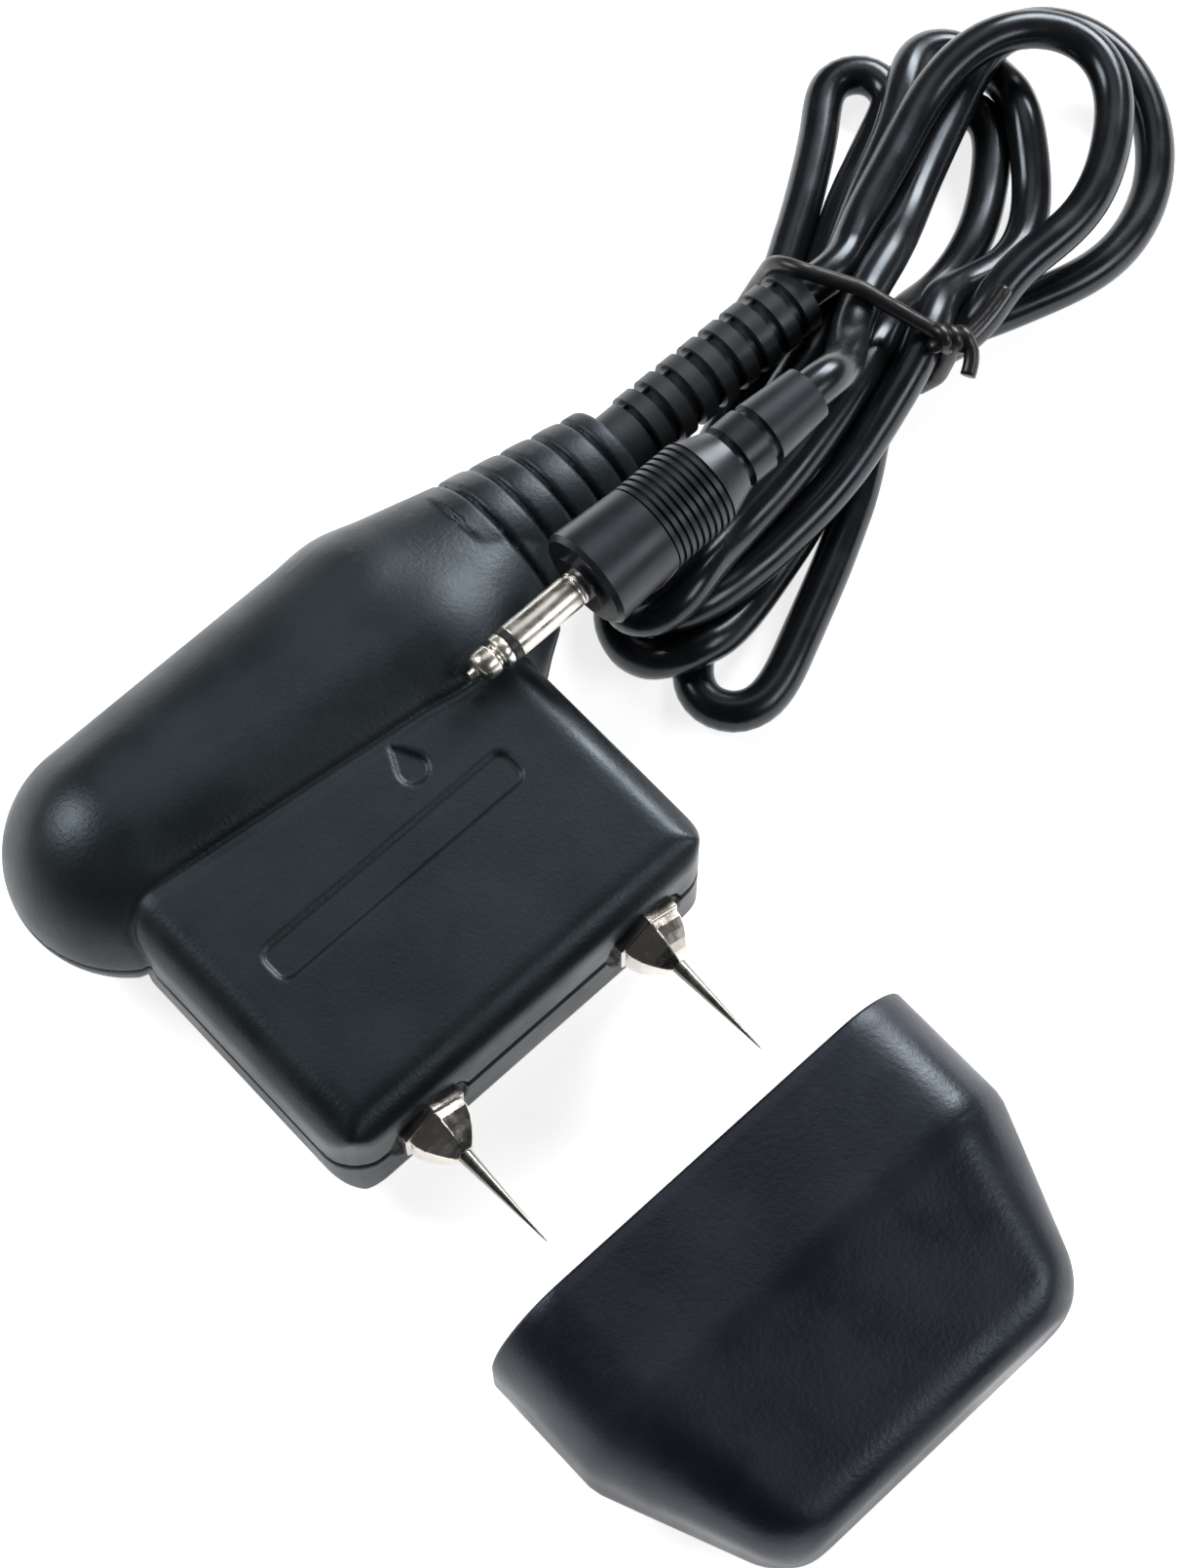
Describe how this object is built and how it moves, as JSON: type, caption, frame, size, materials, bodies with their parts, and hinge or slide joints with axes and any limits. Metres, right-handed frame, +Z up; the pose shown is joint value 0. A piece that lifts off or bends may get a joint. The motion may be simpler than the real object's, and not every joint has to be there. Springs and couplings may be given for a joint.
{
  "type": "moisture meter probe",
  "caption": "Hand probe of a moisture meter: round grip with a flat needle block, tied lead with a jack plug, and a loose needle cap.",
  "frame": {"origin": "middle of the box of the probe and its loose cap, on the surface they lie on; the lead and what is on it are left out", "axes": "+X along the grip towards the lead, +Y from the needle points towards the grip, +Z up through the thickness"},
  "size_m": [0.1518, 0.1115, 0.0274],
  "materials": {
    "housing_plastic": "fine moulded texture, charcoal",
    "cap_plastic": "fine moulded texture, blue-black",
    "carrier_plastic": "natural moulding",
    "plain_steel": "plated",
    "post_brass": "turned",
    "nickel_plate": "bright nickel",
    "needle_steel": "ground point",
    "tinned_tag": "tinned",
    "wire_black": "insulation",
    "wire_red": "insulation",
    "anchor_metal": "crimped",
    "relief_rubber": "satin",
    "cord_sheath": "smooth, glossy",
    "plug_moulding": "semi-gloss",
    "jack_nickel": "bright nickel",
    "jack_plastic": "plain",
    "tie_plastic": "plain"
  },
  "bodies": {
    "probe": {"upper_shell": "housing_plastic", "lower_shell": "housing_plastic", "case_screws": "plain_steel", "pin_carrier": "carrier_plastic", "terminal_post_left": "post_brass", "terminal_post_right": "post_brass", "collet_nut_left": "nickel_plate", "collet_nut_right": "nickel_plate", "needle_left": "needle_steel", "needle_right": "needle_steel", "solder_tag_left": "tinned_tag", "solder_tag_right": "tinned_tag", "post_nut_left": "plain_steel", "post_nut_right": "plain_steel", "core_wire_left": "wire_black", "core_wire_right": "wire_red", "cord_anchor": "anchor_metal", "strain_relief": "relief_rubber", "cord_lead": "cord_sheath", "cord_hank": "cord_sheath", "cord_tail": "cord_sheath", "plug_body": "plug_moulding", "jack_sleeve": "jack_nickel", "jack_insulator": "jack_plastic", "jack_tip": "jack_nickel", "twist_tie": "tie_plastic"},
    "cap": {"cap": "cap_plastic"}
  },
  "joints": [
    {"name": "cap_slide", "type": "slide", "parent": "probe", "child": "cap", "axis": [0, 1, 0], "range_m": [0, 0.0337]}
  ]
}
